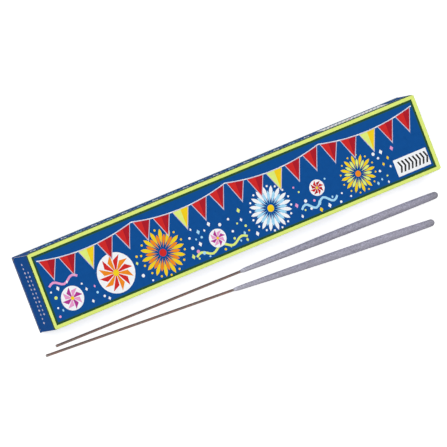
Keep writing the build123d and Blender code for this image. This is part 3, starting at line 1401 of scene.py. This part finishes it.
def wire_rings(bend, sides=20):
    end = HANDLE + HEAD - TIP_COVER
    stops = [0.0, BURR_AT, 0.5, SHEAR_REACH, 2.0] + list(np.arange(4, HANDLE - 2, 4.0))
    stops += list(np.linspace(HANDLE - 1.5, HANDLE, 7))
    stops += list(np.arange(HANDLE + 4, end, 6.0)) + [end]
    rings = []
    for s in stops:
        place, turned = sparkler_line(s, bend)
        pinch = max(0.0, 1 - s / SHEAR_REACH)
        trim = SHEAR_TRIM if s == 0 else 1.0
        ring = []
        for t in turns_of(sides):
            y = WIRE_RADIUS * (1 + SHEAR_SPREAD * pinch) * trim * math.cos(t)
            z = WIRE_RADIUS * (1 - SHEAR_FLATTEN * pinch) * trim * math.sin(t)
            push = 0.0
            if s == 0:
                push = SHEAR_SLANT * (0.5 + 0.5 * math.sin(t))
            elif s == BURR_AT and math.sin(t) > 0:
                push = BURR_PUSH
            ring.append(place + Vector((math.sin(turned) * y + push, math.cos(turned) * y, z)))
        rings.append(ring)
    return rings


# %% Coat
LUMP_MM, LUMP = 7.0, 0.07
GRIT_MM, GRIT = 0.55, 0.035
THINNEST, FULL_LUMPS = 0.02, 0.3


def coat_rings(bend, seed, sides):
    shoulder = HEAD - TIP_RADIUS
    pitch = 2 * math.pi * SWELL_RADIUS / sides * 2
    stops = [0.0, 0.1, 0.3, 0.6, 1.0, 1.3] + list(np.arange(COAT_NECK, shoulder, pitch))
    stops += [shoulder + TIP_RADIUS * math.sin(a) for a in np.linspace(0.05, 1.5, 10)]
    lump_start, grit_start = Vector((seed * 7.3, 0, 0)), Vector((0, seed * 5.1, 0))
    rings, lengths, painted_light_sides = [], [], []
    for s in stops:
        place, turned = sparkler_line(HANDLE + s, bend)
        radius = coat_radius(s)
        room = min(1.0, max(0.0, (radius - WIRE_RADIUS - THINNEST) / FULL_LUMPS))
        ring = []
        for t in turns_of(sides):
            spot = Vector((s, radius * math.cos(t), radius * math.sin(t)))
            lump = 0.5 + 0.5 * noise.noise(spot / LUMP_MM + lump_start)
            grit = 0.5 + 0.5 * noise.noise(spot / GRIT_MM + grit_start)
            r = radius - room * (LUMP * lump + GRIT * grit)
            y, z = r * math.cos(t), r * math.sin(t)
            ring.append(place + Vector((math.sin(turned) * y, math.cos(turned) * y, z)))
        rings.append(ring)
        lengths += [s / HEAD] * sides
        # Painted light and shade across the coat: 1 on the side toward the carton, 0 on the side away from
        # it
        painted_light_sides += [0.5 + 0.5 * math.cos(t) for t in turns_of(sides)]
    return rings, lengths, painted_light_sides


# %% [markdown]
# ## All ten sparklers
# Each lies on the thickest part of its coat and on the end of its handle, so it tilts by about half a
# degree. The two on the table are a little bent at the coat. The eight in the carton lie in two layers.

# %% Where each sparkler lies
# The loose two: how far the handle's end lies along the carton and away from it, measured from the
# carton's near left corner, and the turn and the bend in degrees
LOOSE = {"loose_sparkler_1": (3.5, 6.17, 0.62, 0.56), "loose_sparkler_2": (-1.1, 7.9, 3.12, 0.59)}
TABLE_REST, FINE, COARSE = 0.02, 40, 20
PACK_ROOM, PACK_NEAR, PACK_PITCH = 1.4, -11.0, 5.6
PACK_REST, PACK_LIFT = 1.4, 1.3304

# Each: handle end x and y, height it rests at, lift of the coat, turn and bend in degrees, body, sides
lying = {}
for name, (along, away, turn, bend) in LOOSE.items():
    x, y = along - HALF_LENGTH, -HALF_WIDTH - away
    lying[name] = (x, y, TABLE_REST, 0.0, turn, bend, name, FINE)
rows = [(i, slide, 0.0) for i, slide in enumerate((0.0, 0.15, 0.05, 0.2, 0.1))]
rows += [(i + 0.5, slide, PACK_LIFT) for i, slide in ((0, 0.1), (1, 0.0), (3, 0.2))]
for number, (index, slide, lift) in enumerate(rows, 1):
    x, y = PACK_ROOM - HALF_LENGTH - slide, PACK_NEAR + index * PACK_PITCH
    lying[f"packed_sparkler_{number}"] = (x, y, PACK_REST, lift, 0.0, 0.0, "carton", COARSE)
print(len(lying), "sparklers")

# %% Make them
most_off = 0.0
for seed, (name, (x, y, rest, lift, turn, bend, body, sides)) in enumerate(lying.items()):
    tilt = math.asin((SWELL_RADIUS - WIRE_RADIUS + lift) / (HANDLE + SWELL_AT))
    place = Matrix.Translation(Vector((x, y, rest + WIRE_RADIUS)) * MM)
    place = place @ Matrix.Rotation(-math.radians(turn), 4, "Z") @ Matrix.Rotation(-tilt, 4, "Y")
    bend = math.radians(bend)
    wire = skin(f"{name}_drawn_wire", wire_rings(bend), (copper_wash, sheared_steel), place)
    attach(wire, body)
    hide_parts(f"{name}_wire")
    rings, lengths, painted_light_sides = coat_rings(bend, seed, sides)
    coat = skin(f"{name}_dipped_coat", rings, (dried_dip,), place)
    # The second attribute is the painted light and shade across the coat, paler toward the carton
    for attribute, values in (("along_dip", lengths), ("salt_bloom", painted_light_sides)):
        coat.data.attributes.new(attribute, "FLOAT", "POINT").data.foreach_set("value", values)
    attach(coat, body)
    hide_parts(f"{name}_coat")
    for piece, node in ((wire, f"{name}_wire"), (coat, f"{name}_coat")):
        low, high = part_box(node)
        here = [*piece.bound_box[0], *piece.bound_box[6]]
        most_off = max(most_off, *(abs(a - b) for a, b in zip([*low, *high], here)))
print("coat:", len(coat.data.polygons), "faces in the carton")
print("largest difference from a CAD box:", round(most_off / MM, 3), "mm")
